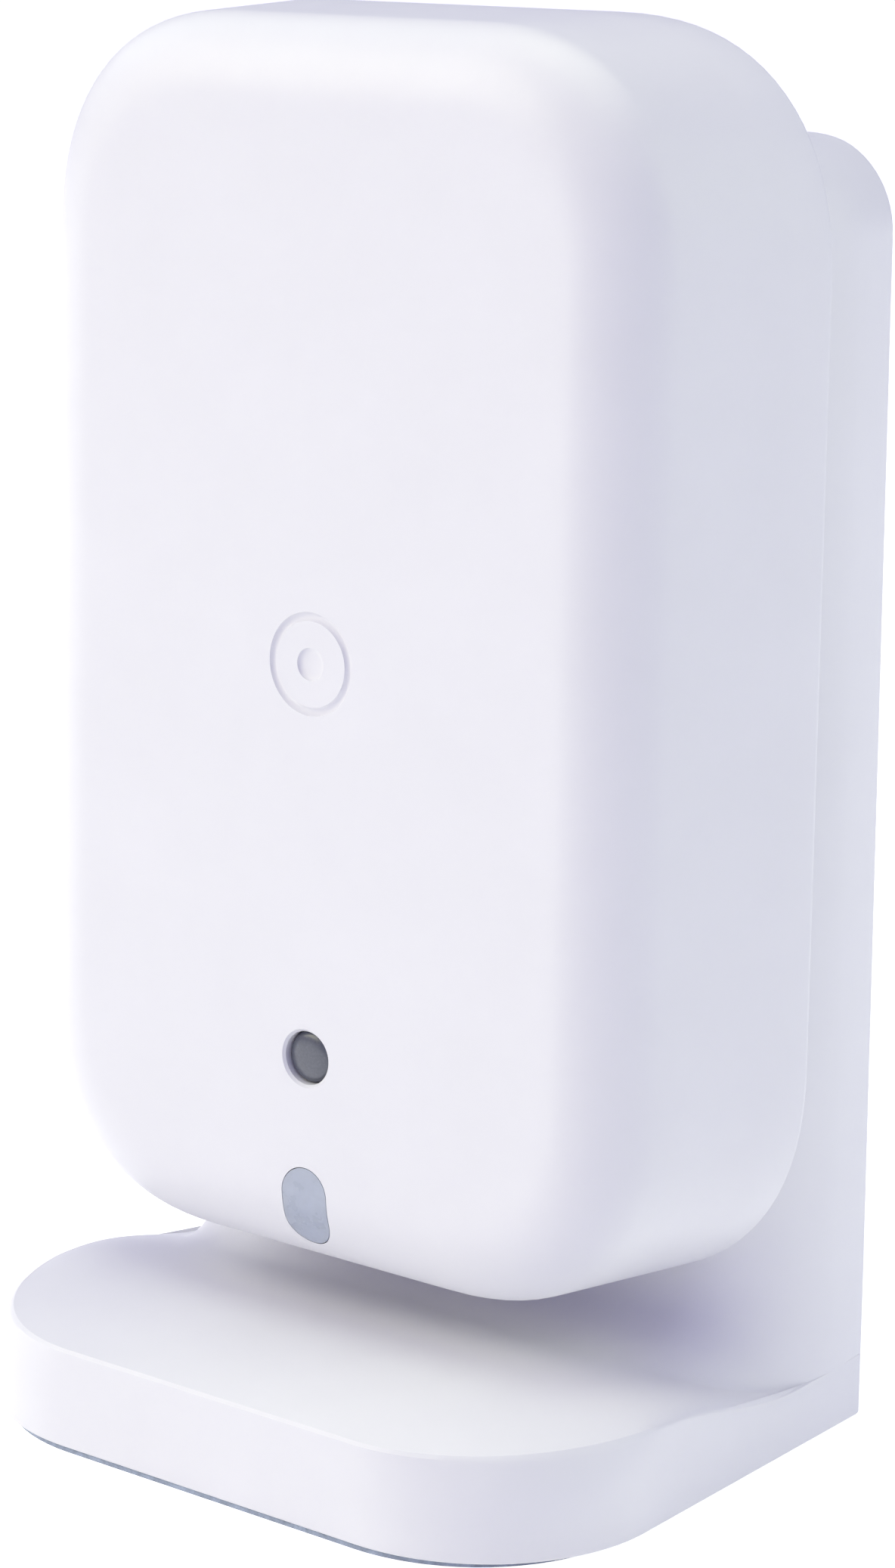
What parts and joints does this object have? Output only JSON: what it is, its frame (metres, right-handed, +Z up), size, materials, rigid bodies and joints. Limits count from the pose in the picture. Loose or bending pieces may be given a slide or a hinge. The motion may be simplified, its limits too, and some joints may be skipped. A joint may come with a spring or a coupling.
{
  "type": "indoor room sensor on a desk stand",
  "caption": "Rounded box sensor head with a small dome window and a status light, held by magnets on an L-shaped weighted stand.",
  "frame": {"origin": "under the middle of the bounding box, on the plane the pad rests on", "axes": "+Z up, -Y towards the front of the sensor, +X to the right seen from the front"},
  "size_m": [0.0498, 0.0348, 0.0837],
  "materials": {
    "shell_white": "fine spark-eroded satin",
    "cover_white": "satin",
    "window_smoked": "polished, smoked",
    "guide_frosted": "frosted, translucent",
    "divider_black": "matte",
    "board_green": "solder mask",
    "chip_clear": "clear epoxy",
    "led_cream": "cream epoxy",
    "module_blue": "solder mask",
    "shield_tin": "tinned",
    "chip_black": "moulded epoxy",
    "socket_steel": "plated",
    "switch_dark": "satin",
    "plunger_black": "satin",
    "button_grey": "satin",
    "steel_plate": "zinc plated",
    "screw_zinc": "zinc plated",
    "stand_white": "satin",
    "back_white": "satin",
    "magnet_nickel": "nickel plated",
    "base_cover_grey": "satin",
    "ballast_steel": "rolled",
    "pad_slate": "matte, dark slate"
  },
  "bodies": {
    "stand": {"stand_shell": "stand_white", "stand_back_cover": "back_white", "magnet_1": "magnet_nickel", "magnet_2": "magnet_nickel", "base_cover": "base_cover_grey", "ballast_plate": "ballast_steel", "base_pad": "pad_slate", "back_screw_1": "screw_zinc", "back_screw_2": "screw_zinc", "back_screw_3": "screw_zinc", "back_screw_4": "screw_zinc", "base_screw_1": "screw_zinc", "base_screw_2": "screw_zinc", "base_screw_3": "screw_zinc", "base_screw_4": "screw_zinc"},
    "head": {"front_shell": "shell_white", "rear_cover": "cover_white", "sensor_window": "window_smoked", "status_light_guide": "guide_frosted", "light_divider": "divider_black", "main_board": "board_green", "light_sensor_chip": "chip_clear", "status_led": "led_cream", "radio_module": "module_blue", "radio_shield": "shield_tin", "climate_sensor": "chip_black", "power_regulator": "chip_black", "usb_socket": "socket_steel", "switch_body": "switch_dark", "mount_steel_plate": "steel_plate", "cover_screw_1": "screw_zinc", "cover_screw_2": "screw_zinc", "cover_screw_3": "screw_zinc", "cover_screw_4": "screw_zinc", "board_screw_1": "screw_zinc", "board_screw_2": "screw_zinc", "board_screw_3": "screw_zinc", "board_screw_4": "screw_zinc"},
    "button": {"reset_button": "button_grey", "switch_plunger": "plunger_black"}
  },
  "joints": [
    {"name": "head_pull", "type": "slide", "parent": "stand", "child": "head", "axis": [0, -1, 0], "range_m": [0, 0.025]},
    {"name": "button_press", "type": "slide", "parent": "head", "child": "button", "axis": [0, -1, 0], "range_m": [0, 0.0003], "stiffness_N_per_m": 900, "springref_m": -0.0004}
  ]
}
